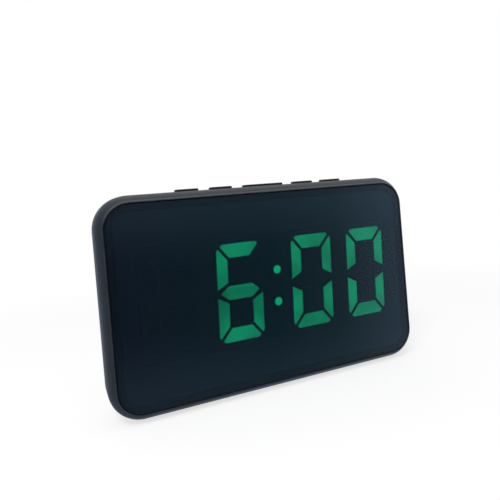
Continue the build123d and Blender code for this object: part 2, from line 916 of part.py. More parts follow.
def jack_leads():
    """Two wires from the socket to the back of the display board."""
    z = middle_z + jack_z
    wires = []
    for side in (-1, 1):
        x = jack_x + side * jack_lead_spread
        wires.append(lead([(x, y_at(cover_inner - jack_body_len), z), (x, y_at(board_back), z)]))
    return group(wires)


def buzzer():
    """Round alarm sounder on the display board, under the sound slots."""
    return slab(Pos(buzzer_x, buzzer_z) * round_outline(buzzer_r), board_back, board_back + buzzer_h)


def controller_chip():
    """Clock circuit with a row of pins along each long side."""
    chip = block(chip_x, chip_z, chip_w, chip_h, board_back, board_back + chip_t)
    pin_h = chip_h + 2 * chip_pin_out
    for pin in range(chip_pins):
        x = chip_x + (pin - (chip_pins - 1) / 2) * chip_pin_pitch
        chip += block(x, chip_z, chip_pin_w, pin_h, board_back, board_back + chip_pin_t)
    return chip


def crystal_can():
    """Small round can of the timing crystal, lying on the board."""
    left = crystal_x - crystal_len / 2
    depth = board_back + crystal_r * cos(pi / round_sides)
    return rod_across(left, left + crystal_len, depth, crystal_z, round_outline(crystal_r))


def board_capacitors():
    """Two upright cans beside each other on the board."""
    can = round_outline(capacitor_r)
    spots = [Pos(capacitor_x + step * capacitor_pitch, capacitor_z) for step in (0, 1)]
    return group([slab(spot * can, board_back, board_back + capacitor_h) for spot in spots])


def foot_pads():
    """Four round rubber feet, sunk into the underside."""
    return group([upright_prism(x, depth, round_outline(pad_r), 0, pad_t) for x, depth in pad_places()])


PARTS = {
    "front_shell": front_shell(),
    "rear_cover": rear_cover(),
    "battery_door": battery_door(),
    "front_lens": front_lens(),
    "lens_tape": lens_tape(),
    "segment_mask": segment_mask(),
    "reflector_frame": reflector_frame(),
    "display_board": display_board(),
    "segment_leds": segment_leds(),
    "digit_1_unlit": digit_windows(0, SEGMENTS),
    "digit_2_lit": digit_windows(1, [name for name in SEGMENTS if name != "upper_right"]),
    "digit_2_unlit": digit_windows(1, ["upper_right"]),
    "digit_3_lit": digit_windows(2, [name for name in SEGMENTS if name != "middle"]),
    "digit_3_unlit": digit_windows(2, ["middle"]),
    "digit_4_lit": digit_windows(3, [name for name in SEGMENTS if name != "middle"]),
    "digit_4_unlit": digit_windows(3, ["middle"]),
    "colon_dots": colon_dots(),
    "key_board": key_board(),
    "key_board_screws": key_board_screws(),
    "key_ribbon": key_ribbon(),
    "case_screws": case_screws(),
    "board_screws": board_screws(),
    "battery_contacts": battery_contacts(),
    "battery_leads": battery_leads(),
    "power_jack": power_jack(),
    "jack_leads": jack_leads(),
    "buzzer": buzzer(),
    "controller_chip": controller_chip(),
    "crystal_can": crystal_can(),
    "board_capacitors": board_capacitors(),
    "foot_pads": foot_pads(),
}
for name, x, width in button_places():
    PARTS["button_" + name] = button_cap(x, width)
    PARTS["switch_stem_" + name] = switch_stem(x)
    PARTS["switch_body_" + name] = switch_body(x)
for row in range(cell_count):
    PARTS[f"cell_{row + 1}"] = cell(row)

os.makedirs("parts", exist_ok=True)
for name, part in PARTS.items():
    export_step(part, f"parts/{name}.step")
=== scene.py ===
import json
from math import cos, pi, radians, sin

import bmesh
import bpy
from mathutils import Matrix, Vector


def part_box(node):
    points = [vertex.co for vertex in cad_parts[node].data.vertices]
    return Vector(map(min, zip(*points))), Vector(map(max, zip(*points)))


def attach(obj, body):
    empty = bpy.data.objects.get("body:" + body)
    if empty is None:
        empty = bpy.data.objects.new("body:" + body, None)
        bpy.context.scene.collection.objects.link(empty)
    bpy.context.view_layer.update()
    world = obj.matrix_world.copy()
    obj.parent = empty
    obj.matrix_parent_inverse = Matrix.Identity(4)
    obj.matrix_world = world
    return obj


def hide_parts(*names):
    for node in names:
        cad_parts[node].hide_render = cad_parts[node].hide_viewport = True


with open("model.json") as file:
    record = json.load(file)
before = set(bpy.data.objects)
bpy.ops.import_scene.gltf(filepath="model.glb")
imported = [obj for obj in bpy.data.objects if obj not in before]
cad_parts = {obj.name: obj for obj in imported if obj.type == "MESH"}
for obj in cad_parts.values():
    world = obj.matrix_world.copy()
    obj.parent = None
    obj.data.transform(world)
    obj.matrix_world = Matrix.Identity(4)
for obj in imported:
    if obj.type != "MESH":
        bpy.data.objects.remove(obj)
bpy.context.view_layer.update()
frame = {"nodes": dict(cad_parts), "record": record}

slots = {part["node"]: part["material_slot"] for part in frame["record"]["subparts"]}

# Digital clock seen from the front, a little from the left. Sizes and places are in metres.
# The viewer looks along +Y, +X is to the right and +Z is up.
MM = 0.001

# Camera: its turns are in degrees, its lens and sensor in millimetres
CAMERA_PLACE = (-0.0940, -0.2123, 0.0914)
CAMERA_YAW = 22.83
CAMERA_PITCH = -0.73
CAMERA_ROLL = -4.77
CAMERA_LENS = 33.12
CAMERA_SENSOR = 36.0
CAMERA_SHIFT_Y = -0.088
CAMERA_CLIP = 0.01

# Studio. A fade is the two numbers between which something goes from none to full.
WHITE = (1.0, 1.0, 1.0, 1.0)
SKY_LEVEL = 0.70
FLOOR_SIZE = 3.0
FLOOR_COLOUR = (0.92, 0.92, 0.92, 1.0)
FLOOR_ROUGHNESS = 0.9
FLOOR_GLOW = 0.68
FLOOR_FADE = (0.16, 0.42)
KEY_PLACE = (-0.32, -0.42, 0.62)
KEY_AIM = (0.0, 0.0, 0.05)
KEY_SIZE = 0.30
KEY_POWER = 4.0

# The dark room in front of the clock, which gloss shows: a heading in degrees from straight ahead
# towards the right, and the colour there at the darkest height. That height, and how far from it the
# room gets paler, are in degrees too. The other fades are parts of a direction of length 1.
ROOM_COLOURS = (
    (-70, (0.110, 0.150, 0.240, 1.0)),
    (6, (0.060, 0.065, 0.160, 1.0)),
    (17, (0.050, 0.105, 0.170, 1.0)),
    (25, (0.045, 0.130, 0.200, 1.0)),
    (33, (0.130, 0.230, 0.310, 1.0)),
    (40, (0.380, 0.520, 0.740, 1.0)),
    (80, (0.600, 0.750, 0.900, 1.0)),
)
ROOM_DARK_HEIGHT = -11.0
ROOM_RISE_FADE = (3.0, 13.0)
ROOM_RISE_COLOUR = (0.15, 0.20, 0.29, 1.0)
ROOM_BEHIND_COLOUR = (0.36, 0.42, 0.52, 1.0)
ROOM_BEHIND_FADE = (0.05, 0.50)
ROOM_ABOVE_FADE = (0.30, 0.75)
ROOM_LEFT_FADE = (-0.60, -0.05)
ROOM_LEFT_SHARE = 0.1

# Surfaces
# Near black of the mask film and of the block's outer walls, also used as painted shade on the shell's panel
# behind the lens and on the dark diffusers
INNER_BLACK_AND_SHADE = (0.0015, 0.002, 0.0025)
DUST_GREY = (0.20, 0.20, 0.19, 1.0)
DULL_GLOSS = 0.05
EDGE_BEND_FADE = (0.998, 0.93)
EDGE_POLISH = 0.30
EDGE_WEAR = 0.6
DUST_DULLING = 0.5
TARNISH_SHARE = 0.5

# The shell's panel behind the lens, coloured near black as painted shade, and its upper lip, which carries a
# painted highlight
PANEL_CORNER = 12 * MM
PANEL_START = 0.1 * MM
LIP_REACH_FADE = (0.8 * MM, 0.3 * MM)
LIP_FACING_FADE = (0.15, 0.55)
LIP_HIGHLIGHT = 0.65

# Block of light wells: how deep its black walls and face go
BLOCK_WALL = 0.6 * MM
BLOCK_FACE = 0.05 * MM
BLOCK_WHITE = (0.70, 0.70, 0.68, 1.0)

# Lens
LENS_TINT = (0.12, 0.30, 0.38, 1.0)
LENS_INDEX = 1.49
LENS_CLEAR = 0.985
LENS_ROUGHNESS = 0.015

# Digits. The dim part lies between two fades, given as heights over the middle of the digits.
LIT_GLOW = (0.002, 0.680, 0.215)
WINDOW_GREEN = (0.005, 0.05, 0.03, 1.0)
DOT_GLOW_RATIO = 1.50
DIM_SHARE = 0.30
DIM_TOP_FADE = (2.2 * MM, 1.2 * MM)
DIM_BOTTOM_FADE = (-16 * MM, -9 * MM)

# Circuit boards
BOARD_GREEN = (0.010, 0.085, 0.030, 1.0)
TRACK_GREEN = (0.030, 0.170, 0.055, 1.0)
TRACK_STEP = 1.9 * MM
TRACK_HALF_SHARE = 0.14
TRACK_RUN = 14 * MM
TRACK_GAPS = 0.52

# Wires, ribbon cable and chip
WIRE_BLACK = (0.012, 0.012, 0.013, 1.0)
WIRE_RED = (0.42, 0.020, 0.016, 1.0)
JACK_RED_START = 4.5 * MM
RIBBON_STEP = 1 * MM
RIBBON_GROOVE = (0.20, 0.20, 0.21, 1.0)
RIBBON_RIDGE = (0.36, 0.36, 0.37, 1.0)
RIBBON_EDGE_RED = (0.35, 0.03, 0.03, 1.0)
CHIP_BLACK = (0.020, 0.020, 0.021, 1.0)
CHIP_TIN = (0.62, 0.62, 0.60, 1.0)
CHIP_PIN_REACH = 1.28 * MM

# Room left between a form and its node's box, and the number of steps round a corner
BOX_CLEAR = 0.02 * MM
CORNER_STEPS = 6

# Buttons
FLANGE_RIM = 0.9 * MM
FLANGE_TOP = 1.6 * MM
FLANGE_BOTTOM = 0.8 * MM
FLANGE_CORNER = 0.3 * MM
PLUNGER_HALF = 1.3 * MM
CAP_CORNER = 1.2 * MM
CAP_CORNER_LEAST = 0.2 * MM
CAP_EDGE = 0.6 * MM
CAP_FLAT = 1.3 * MM
CAP_DISH = 0.09 * MM
CAP_DISH_RUN = 0.5 * MM

# Case screws
HEAD_R = 2.55 * MM
HEAD_T = 1.9 * MM
HEAD_EDGE = 0.5 * MM
SHANK_R = 1.14 * MM
THREAD_ROOT_R = 0.95 * MM
THREAD_PITCH = 1.0 * MM
THREAD_CREST = 0.4 * THREAD_PITCH
THREAD_END = 0.8 * THREAD_PITCH
HEAD_SIDE_T = 0.75 * HEAD_T
HEAD_TOP_R = 0.7 * HEAD_R
SCREW_TIP_R = 0.6 * THREAD_ROOT_R
SCREW_TIP = 0.8 * MM
SCREW_PLAIN = 1.2 * MM
RECESS_R = 1.45 * MM
RECESS_HALF = 0.36 * MM
RECESS_DEPTH = 1.1 * MM
RECESS_TAPER = (1.15, 0.45)
RECESS_RUN_OUT = 0.3 * MM
SCREW_ANGLES = (20, 65, 110, 40)

# Cells. The film folds in over both ends, down to the rim's radius.
CELL_R = 5.17 * MM
CELL_RIM_R = 4.35 * MM
CELL_BASE_IN = 0.4 * MM
CELL_BASE_BEVEL = 0.5 * MM
CELL_FOLD = 0.1 * MM
CELL_FOLD_HEIGHTS = (0.25 * MM, 0.3 * MM)
CELL_NUB_R = 2.65 * MM
CELL_NUB_LEN = 1.0 * MM
CELL_NUB_FLARE = 0.6 * MM
CELL_NUB_DROPS = (0.35 * MM, 0.2 * MM)
CELL_METAL_EDGE = 0.3 * MM
CELL_FILM_EDGE = 0.35 * MM
CELL_MERGE = 0.001 * MM
CELL_BAND = (37 * MM, 37.8 * MM)
CELL_SLATE = (0.050, 0.110, 0.160, 1.0)
CELL_PALE = (0.52, 0.53, 0.52, 1.0)
CELL_LINE = (0.020, 0.024, 0.028, 1.0)
CELL_SCUFF = (0.25, 0.24, 0.23, 1.0)

# Feet
FOOT_R = 3.45 * MM
FOOT_EDGE = 0.45 * MM
FOOT_HOLLOW = 0.12 * MM
FOOT_HOLLOW_R = 0.7 * FOOT_R
FOOT_TREAD_R = 0.78 * FOOT_R

# Power jack. The lead-in is a width and a depth.
JACK_CORNER = 0.3 * MM
JACK_BEVEL = 0.15 * MM
JACK_NOSE_R = 3.4 * MM
JACK_NOSE_LEN = 2.0 * MM
JACK_BORE_R = 2.75 * MM
JACK_BORE_LEN = 9.0 * MM
JACK_LEAD_IN = (0.2 * MM, 0.5 * MM)
JACK_PIN_R = 1.0 * MM
JACK_PIN_NOSE = 0.5 * MM
JACK_PIN_BACK = 1.5 * MM

# Faces that meet at more than this angle keep a sharp edge
SMOOTH_ANGLE = radians(32)

# Node sheets: the step between nodes, and a colour mix's places for its share, its colours and its result
NODE_STEP = 190
MIX_INPUTS = (0, 6, 7)
MIX_RESULT = 2


class Sheet:
    """A node sheet. It lays its nodes in a row, and links or sets each input that it is given."""

    def __init__(self, tree):
        self.tree = tree
        tree.nodes.clear()

    def add(self, kind, settings=None, **inputs):
        """A node with its settings and its named inputs."""
        node = self.tree.nodes.new(kind)
        node.location = (len(self.tree.nodes) * NODE_STEP, 0)
        for name, value in (settings or {}).items():
            setattr(node, name, value)
        for name, value in inputs.items():
            self.feed(node.inputs[name.replace("_", " ")], value)
        return node

    def feed(self, socket, value):
        """Links a socket to an input, or sets the input to a value."""
        if isinstance(value, bpy.types.NodeSocket):
            self.tree.links.new(value, socket)
        else:
            socket.default_value = value

    def math(self, operation, *values, clamp=False):
        """Result of a sum, product or other step on numbers."""
        node = self.add("ShaderNodeMath", {"operation": operation, "use_clamp": clamp})
        for socket, value in zip(node.inputs, values):
            self.feed(socket, value)
        return node.outputs[0]

    def away(self, value, middle):
        """Distance of a number from a middle."""
        return self.math("ABSOLUTE", self.math("SUBTRACT", value, middle))

    def spread(self, value, low, high, to_low=0.0, to_high=1.0):
        """A number carried from one range to another, smoothly."""
        node = self.add("ShaderNodeMapRange", {"interpolation_type": "SMOOTHSTEP"}, Value=value)
        for name, limit in zip(("From Min", "From Max", "To Min", "To Max"), (low, high, to_low, to_high)):
            self.feed(node.inputs[name], limit)
        return node.outputs[0]

    def blend(self, share, first, second, kind="MIX"):
        """Mix of two colours."""
        node = self.add("ShaderNodeMix", {"data_type": "RGBA", "blend_type": kind})
        for index, value in zip(MIX_INPUTS, (share, first, second)):
            self.feed(node.inputs[index], value)
        return node.outputs[MIX_RESULT]

    def toned(self, colour, tone):
        """A colour made lighter or darker by a number near 1."""
        grey = self.add("ShaderNodeCombineColor", Red=tone, Green=tone, Blue=tone).outputs[0]
        return self.blend(1.0, colour, grey, "MULTIPLY")

    def ramp(self, value, stops):
        """Colour read from stops by a number."""
        node = self.add("ShaderNodeValToRGB", Fac=value)
        elements = node.color_ramp.elements
        while len(elements) < len(stops):
            elements.new(1.0)
        for element, (place, colour) in zip(elements, stops):
            element.position = place
            element.color = colour
        return node.outputs[0]

    def noise(self, vector, scale, detail, roughness):
        """Soft random value from 0 to 1."""
        node = self.add("ShaderNodeTexNoise", Vector=vector, Scale=scale, Detail=detail, Roughness=roughness)
        return node.outputs["Fac"]

    def patches(self, scale, detail, roughness, fade, low=0.0, high=1.0):
        """Random patches over the object, which go from low to high over a fade of the noise."""
        return self.spread(self.noise(self.place(), scale, detail, roughness), *fade, low, high)

    def place(self):
        """Place on the object, in metres."""
        return self.add("ShaderNodeTexCoord").outputs["Object"]

    def axes(self):
        """Place on the object as three numbers."""
        return self.add("ShaderNodeSeparateXYZ", Vector=self.place()).outputs

    def facing(self):
        """Direction that the surface faces, as three numbers."""
        normal = self.add("ShaderNodeNewGeometry").outputs["Normal"]
        return self.add("ShaderNodeSeparateXYZ", Vector=normal).outputs

    def use(self, group, **inputs):
        """Results of one of the shared effects, with this material's own values."""
        return self.add("ShaderNodeGroup", {"node_tree": bpy.data.node_groups[group]}, **inputs).outputs

    def grained(self, size):
        """Results of the mould's grain at a size."""
        return self.use("moulded_grain", Scale=1 / size)

    def smeared(self, roughness, amount=0.08):
        """A roughness with the smears of fingers in it."""
        return self.math("ADD", roughness, self.use("handling", Amount=amount)["Shift"])

    def bump(self, height, depth, normal=None):
        """Normal of a surface with small heights, in metres."""
        node = self.add("ShaderNodeBump", Height=height, Distance=depth, Strength=1.0)
        if normal is not None:
            self.feed(node.inputs["Normal"], normal)
        return node.outputs[0]

    def surface(self, **inputs):
        """The material's shader, joined to its output."""
        shader = self.add("ShaderNodeBsdfPrincipled", **inputs)
        self.add("ShaderNodeOutputMaterial", Surface=shader.outputs[0])

    def mixed(self, share, first, second):
        """Mix of two shaders."""
        node = self.add("ShaderNodeMixShader")
        for socket, value in zip(node.inputs, (share, first, second)):
            self.feed(socket, value)
        return node.outputs[0]


def new_effect(name, inputs, outputs):
    """An empty shared effect: its node sheet, its inputs by name and the node that takes its results."""
    tree = bpy.data.node_groups.new(name, "ShaderNodeTree")
    for label, value in inputs.items():
        kind = "NodeSocketFloat" if isinstance(value, float) else "NodeSocketVector"
        tree.interface.new_socket(label, in_out="INPUT", socket_type=kind).default_value = value
    for label, kind in outputs.items():
        tree.interface.new_socket(label, in_out="OUTPUT", socket_type="NodeSocket" + kind)
    sheet = Sheet(tree)
    given = sheet.add("NodeGroupInput").outputs
    return sheet, given, sheet.add("NodeGroupOutput").inputs


def effect_moulded_grain():
    """Fine grain of an eroded mould, with a slow change of tone over the wall."""
    sheet, given, result = new_effect(
        "moulded_grain", {"Scale": 3000.0}, {"Height": "Float", "Tone": "Float"})
    place = sheet.place()
    fine = sheet.noise(place, given["Scale"], detail=3.0, roughness=0.6)
    pits = sheet.add("ShaderNodeTexVoronoi", {"feature": "SMOOTH_F1"}, Vector=place, Scale=given["Scale"])
    pits = sheet.math("MULTIPLY", pits.outputs[0], 0.4)
    slow = sheet.noise(place, sheet.math("MULTIPLY", given["Scale"], 0.02), detail=4.0, roughness=0.6)
    sheet.feed(result["Height"], sheet.math("MULTIPLY_ADD", fine, 0.6, pits))
    sheet.feed(result["Tone"], sheet.spread(slow, 0.3, 0.7, to_low=0.86, to_high=1.14))


def effect_edge_wear():
    """Masks of corners and of the parts of them that wear, and the softened normal that a real moulded
    corner has.
    """
    sheet, given, result = new_effect(
        "edge_wear", {"Radius": 0.3 * MM, "Scale": 400.0},
        {"Edge": "Float", "Mask": "Float", "Normal": "Vector"})
    soft = sheet.add("ShaderNodeBevel", {"samples": 4}, Radius=given["Radius"]).outputs[0]
    sharp = sheet.add("ShaderNodeNewGeometry").outputs["Normal"]
    same = sheet.add("ShaderNodeVectorMath", {"operation": "DOT_PRODUCT"})
    sheet.feed(same.inputs[0], soft)
    sheet.feed(same.inputs[1], sharp)
    bend = sheet.spread(same.outputs["Value"], *EDGE_BEND_FADE)
    patchy = sheet.patches(given["Scale"], detail=4.0, roughness=0.65, fade=(0.42, 0.68))
    sheet.feed(result["Edge"], bend)
    sheet.feed(result["Mask"], sheet.math("MULTIPLY", bend, patchy))
    sheet.feed(result["Normal"], soft)


def effect_settled_dust():
    """Mask of fine dust, thickest on what faces up."""
    sheet, given, result = new_effect("settled_dust", {"Scale": 900.0, "Amount": 0.3}, {"Mask": "Float"})
    specks = sheet.patches(given["Scale"], detail=5.0, roughness=0.7, fade=(0.48, 0.72))
    upward = sheet.spread(sheet.facing()[2], 0.2, 1.0, to_low=0.12, to_high=1.0)
    share = sheet.math("MULTIPLY", specks, upward)
    sheet.feed(result["Mask"], sheet.math("MULTIPLY", share, given["Amount"]))


def effect_handling():
    """Faint smears left by fingers, as a change of roughness."""
    sheet, given, result = new_effect("handling", {"Scale": 60.0, "Amount": 0.08}, {"Shift": "Float"})
    smear = sheet.add("ShaderNodeTexNoise", Vector=sheet.place(), Scale=given["Scale"], Detail=5.0,
                      Distortion=1.4).outputs["Fac"]
    smear = sheet.math("SUBTRACT", smear, 0.5)
    sheet.feed(result["Shift"], sheet.math("MULTIPLY", smear, given["Amount"]))


def effect_drawn_lines():
    """Fine lines along one direction, as drawing, brushing or a diffuser leaves them."""
    sheet, given, result = new_effect(
        "drawn_lines", {"Squeeze": (1.0, 1.0, 0.05), "Scale": 2000.0}, {"Tone": "Float"})
    squeezed = sheet.add("ShaderNodeVectorMath", {"operation": "MULTIPLY"})
    sheet.feed(squeezed.inputs[0], sheet.place())
    sheet.feed(squeezed.inputs[1], given["Squeeze"])
    lines = sheet.noise(squeezed.outputs[0], given["Scale"], detail=3.0, roughness=0.6)
    sheet.feed(result["Tone"], sheet.spread(lines, 0.25, 0.75))


def new_material(name):
    """An empty material and its node sheet."""
    material = bpy.data.materials.new(name)
    material.use_nodes = True
    return material, Sheet(material.node_tree)


def opaque(colour):
    """A colour with full cover."""
    return (*colour, 1.0)


def moulded_plastic(name, colour, wear_and_highlight_colour, roughness, grain, depth, dust=0.25, radius=0.3 * MM, gloss=0.5,
                    panel_shade=None, lip=None):
    """Moulded plastic with grain, softened corners, wear, smears and dust.

    It has a painted shade lining and a polished lip whose lighter colour is a painted highlight, where masks
    for them are given.
    """
    material, sheet = new_material(name)
    grained = sheet.grained(grain)
    corner = sheet.use("edge_wear", Radius=radius)
    dusty = sheet.use("settled_dust", Amount=dust)["Mask"]
    base = sheet.toned(opaque(colour), grained["Tone"])
    wear_and_highlight_mask = sheet.math("MULTIPLY", corner["Mask"], EDGE_WEAR)
    # Painted highlight: the upward-facing lip takes the lighter colour of wear
    if lip:
        wear_and_highlight_mask = sheet.math("MAXIMUM", wear_and_highlight_mask, lip(sheet))
    base = sheet.blend(wear_and_highlight_mask, base, opaque(wear_and_highlight_colour))
    base = sheet.blend(dusty, base, DUST_GREY)
    rough = sheet.smeared(roughness, amount=0.16)
    rough = sheet.math("MULTIPLY_ADD", sheet.math("MAXIMUM", corner["Edge"], wear_and_highlight_mask), -EDGE_POLISH, rough)
    rough = sheet.math("MULTIPLY_ADD", dusty, DUST_DULLING, rough, clamp=True)
    if panel_shade:
        painted_shade = panel_shade(sheet)
        # Painted shade: the panel behind the lens is coloured near black
        base = sheet.blend(painted_shade, base, opaque(INNER_BLACK_AND_SHADE))
        rough = sheet.math("MAXIMUM", rough, painted_shade)
    normal = sheet.bump(grained["Height"], depth, corner["Normal"])
    sheet.surface(Base_Color=base, Roughness=rough, Specular_IOR_Level=gloss, Normal=normal)
    return material


def painted_shade_behind_lens(sheet):
    """Mask of the shell's panel behind the lens, which is coloured near black there as painted shade."""
    low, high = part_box("lens_tape")
    middle = (low + high) / 2
    x, y, z = sheet.axes()
    side = sheet.math("SUBTRACT", sheet.away(x, middle.x), high.x - middle.x - PANEL_CORNER)
    rise = sheet.math("SUBTRACT", sheet.away(z, middle.z), high.z - middle.z - PANEL_CORNER)
    side, rise = (sheet.math("MAXIMUM", reach, 0.0) for reach in (side, rise))
    reach = sheet.math("SQRT", sheet.math("MULTIPLY_ADD", side, side, sheet.math("MULTIPLY", rise, rise)))
    mask = sheet.math("LESS_THAN", reach, PANEL_CORNER)
    mask = sheet.math("MULTIPLY", mask, sheet.math("GREATER_THAN", y, low.y + PANEL_START))
    return sheet.math("MULTIPLY", mask, sheet.math("LESS_THAN", y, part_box("reflector_frame")[1].y))


def painted_lip_highlight(sheet):
    """Mask of the rim's front edge where it faces up: a painted highlight in the lighter colour of wear
    there, and a polish that lowers its roughness.
    """
    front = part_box("front_shell")[0].y
    ahead = sheet.spread(sheet.axes()[1], *(front + reach for reach in LIP_REACH_FADE))
    upward = sheet.spread(sheet.facing()[2], *LIP_FACING_FADE, to_high=LIP_HIGHLIGHT)
    return sheet.math("MULTIPLY", ahead, upward)


def black_printed(name, colour, roughness):
    """Flat black film or tape with the faint grain of its coating."""
    material, sheet = new_material(name)
    grained = sheet.grained(0.25 * MM)
    base = sheet.toned(opaque(colour), grained["Tone"])
    rough = sheet.smeared(roughness, amount=0.1)
    normal = sheet.bump(grained["Height"], 0.001 * MM)
    sheet.surface(Base_Color=base, Roughness=rough, Specular_IOR_Level=DULL_GLOSS, Normal=normal)
    return material


def display_block():
    """Block with black outer walls and white light wells."""
    material, sheet = new_material("display_block")
    low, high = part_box("reflector_frame")
    middle = (low + high) / 2
    x, y, z = sheet.axes()
    sides = sheet.math("GREATER_THAN", sheet.away(x, middle.x), high.x - middle.x - BLOCK_WALL)
    ends = sheet.math("GREATER_THAN", sheet.away(z, middle.z), high.z - middle.z - BLOCK_WALL)
    outer = sheet.math("MAXIMUM", sides, ends)
    outer = sheet.math("MAXIMUM", outer, sheet.math("LESS_THAN", y, low.y + BLOCK_FACE))
    grained = sheet.grained(0.3 * MM)
    base = sheet.toned(BLOCK_WHITE, grained["Tone"])
    base = sheet.blend(outer, base, opaque(INNER_BLACK_AND_SHADE))
    sheet.surface(Base_Color=base, Roughness=sheet.smeared(0.6), Specular_IOR_Level=DULL_GLOSS,
                  Normal=sheet.bump(grained["Height"], 0.004 * MM))
    return material


def metal(name, colour, tarnish, roughness, squeeze, scale):
    """Plated or bare metal with fine drawing lines and a little tarnish."""
    material, sheet = new_material(name)
    lines = sheet.use("drawn_lines", Squeeze=squeeze, Scale=scale)["Tone"]
    patches = sheet.patches(700.0, detail=5.0, roughness=0.6, fade=(0.45, 0.75))
    corner = sheet.use("edge_wear", Radius=0.08 * MM)
    base = sheet.blend(sheet.math("MULTIPLY", patches, TARNISH_SHARE), opaque(colour), opaque(tarnish))
    rough = sheet.math("MULTIPLY_ADD", lines, 0.18, roughness)
    sheet.surface(Base_Color=base, Metallic=1.0, Roughness=rough,
                  Normal=sheet.bump(lines, 0.004 * MM, corner["Normal"]))
    return material


def tinted_glass():
    """Polished dark lens. Faint smears change its gloss."""
    material, sheet = new_material("tinted_glass")
    smears = sheet.use("handling", Scale=45.0, Amount=0.05)["Shift"]
    rough = sheet.math("ADD", LENS_ROUGHNESS, sheet.math("MAXIMUM", smears, 0.0))
    corner = sheet.use("edge_wear", Radius=0.06 * MM)["Normal"]
    sheet.surface(Base_Color=LENS_TINT, Roughness=rough, IOR=LENS_INDEX, Transmission_Weight=LENS_CLEAR,
                  Normal=corner)
    return material


def weak_lamps(sheet):
    """Mask of the weaker lamps: the middle and the lower posts of the hour digit."""
    low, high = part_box("segment_mask")
    middle = (low.z + high.z) / 2
    side, _, height = sheet.axes()
    hour = sheet.math("LESS_THAN", side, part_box("colon_dots")[0].x)
    below = sheet.spread(height, *(middle + level for level in DIM_TOP_FADE))
    above = sheet.spread(height, *(middle + level for level in DIM_BOTTOM_FADE))
    return sheet.math("MULTIPLY", hour, sheet.math("MULTIPLY", below, above))


def segment_window(name, lit):
    """Moulded diffuser over a lamp, lit or dark, with the fine lines of its mould. The dark one is coloured
    near black as painted shade.
    """
    material, sheet = new_material(name)
    lines = sheet.use("drawn_lines", Squeeze=(1.0, 1.0, 0.08), Scale=1500.0)["Tone"]
    broad = sheet.patches(85.0, detail=1.0, roughness=0.5, fade=(0.35, 0.65), low=0.68, high=1.02)
    strength = sheet.math("MULTIPLY_ADD", lines, 0.26, broad)
    normal = sheet.bump(lines, 0.01 * MM)
    if lit:
        low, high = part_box("colon_dots")
        dots = sheet.away(sheet.axes()[0], (low.x + high.x) / 2)
        dots = sheet.math("LESS_THAN", dots, high.x - low.x)
        for mask, change in ((dots, DOT_GLOW_RATIO - 1), (weak_lamps(sheet), -DIM_SHARE)):
            strength = sheet.math("MULTIPLY", strength, sheet.math("MULTIPLY_ADD", mask, change, 1.0))
        sheet.surface(Base_Color=WINDOW_GREEN, Roughness=0.4, Normal=normal,
                      Emission_Color=sheet.toned(opaque(LIT_GLOW), strength), Emission_Strength=1.0)
    else:
        # Painted shade: the dark diffuser is coloured near black
        base = sheet.toned(opaque(INNER_BLACK_AND_SHADE), strength)
        sheet.surface(Base_Color=base, Roughness=0.6, Specular_IOR_Level=DULL_GLOSS, Normal=normal)
    return material


def circuit_board():
    """Green solder mask over copper tracks that run in two directions."""
    material, sheet = new_material("circuit_board")
    side, _, height = sheet.axes()
    lines = []
    for across, along in ((side, height), (height, side)):
        lane = sheet.math("MULTIPLY", across, 1 / TRACK_STEP)
        line = sheet.math("LESS_THAN", sheet.away(sheet.math("FRACT", lane), 0.5), TRACK_HALF_SHARE)
        spot = sheet.add("ShaderNodeCombineXYZ", X=sheet.math("FLOOR", lane),
                         Y=sheet.math("MULTIPLY", along, 1 / TRACK_RUN))
        reach = sheet.add("ShaderNodeTexNoise", {"noise_dimensions": "2D"}, Vector=spot.outputs[0],
                          Scale=1.0)
        present = sheet.math("GREATER_THAN", reach.outputs["Fac"], TRACK_GAPS)
        lines.append(sheet.math("MULTIPLY", line, present))
    tracks = sheet.math("MAXIMUM", *lines)
    base = sheet.blend(tracks, BOARD_GREEN, TRACK_GREEN)
    base = sheet.toned(base, sheet.grained(0.5 * MM)["Tone"])
    sheet.surface(Base_Color=base, Roughness=sheet.smeared(0.32), Normal=sheet.bump(tracks, 0.02 * MM))
    return material


def wire_pair():
    """Glossy wire insulation: red on one wire of each pair and black on the other."""
    material, sheet = new_material("wire_pair")
    side = sheet.axes()[0]
    jack = sheet.math("GREATER_THAN", side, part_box("power_jack")[0].x + JACK_RED_START)
    red = sheet.math("MAXIMUM", jack, sheet.math("LESS_THAN", side, 0.0))
    lines = sheet.use("drawn_lines", Squeeze=(1.0, 0.1, 1.0), Scale=3000.0)["Tone"]
    base = sheet.blend(red, WIRE_BLACK, WIRE_RED)
    rough = sheet.math("MULTIPLY_ADD", lines, 0.12, 0.34)
    sheet.surface(Base_Color=base, Roughness=rough, Normal=sheet.bump(lines, 0.01 * MM))
    return material


def flat_cable():
    """Grey ribbon cable, ridged along its wires, with one red edge."""
    material, sheet = new_material("flat_cable")
    side = sheet.axes()[0]
    wires = sheet.math("PINGPONG", sheet.math("MULTIPLY", side, 1 / RIBBON_STEP), 0.5)
    edge = sheet.math("LESS_THAN", side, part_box("key_ribbon")[0].x + RIBBON_STEP)
    base = sheet.blend(sheet.spread(wires, 0.1, 0.4), RIBBON_GROOVE, RIBBON_RIDGE)
    base = sheet.blend(edge, base, RIBBON_EDGE_RED)
    sheet.surface(Base_Color=base, Roughness=sheet.smeared(0.45), Normal=sheet.bump(wires, 0.15 * MM))
    return material


def chip_package():
    """Dull black package with tinned pins along its long sides."""
    material, sheet = new_material("chip_package")
    low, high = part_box("controller_chip")
    rise = sheet.away(sheet.axes()[2], (low.z + high.z) / 2)
    pins = sheet.math("GREATER_THAN", rise, (high.z - low.z) / 2 - CHIP_PIN_REACH)
    grained = sheet.grained(0.12 * MM)
    base = sheet.blend(pins, sheet.toned(CHIP_BLACK, grained["Tone"]), CHIP_TIN)
    rough = sheet.math("MULTIPLY_ADD", pins, -0.35, 0.65)
    sheet.surface(Base_Color=base, Metallic=pins, Roughness=rough,
                  Normal=sheet.bump(grained["Height"], 0.006 * MM))
    return material


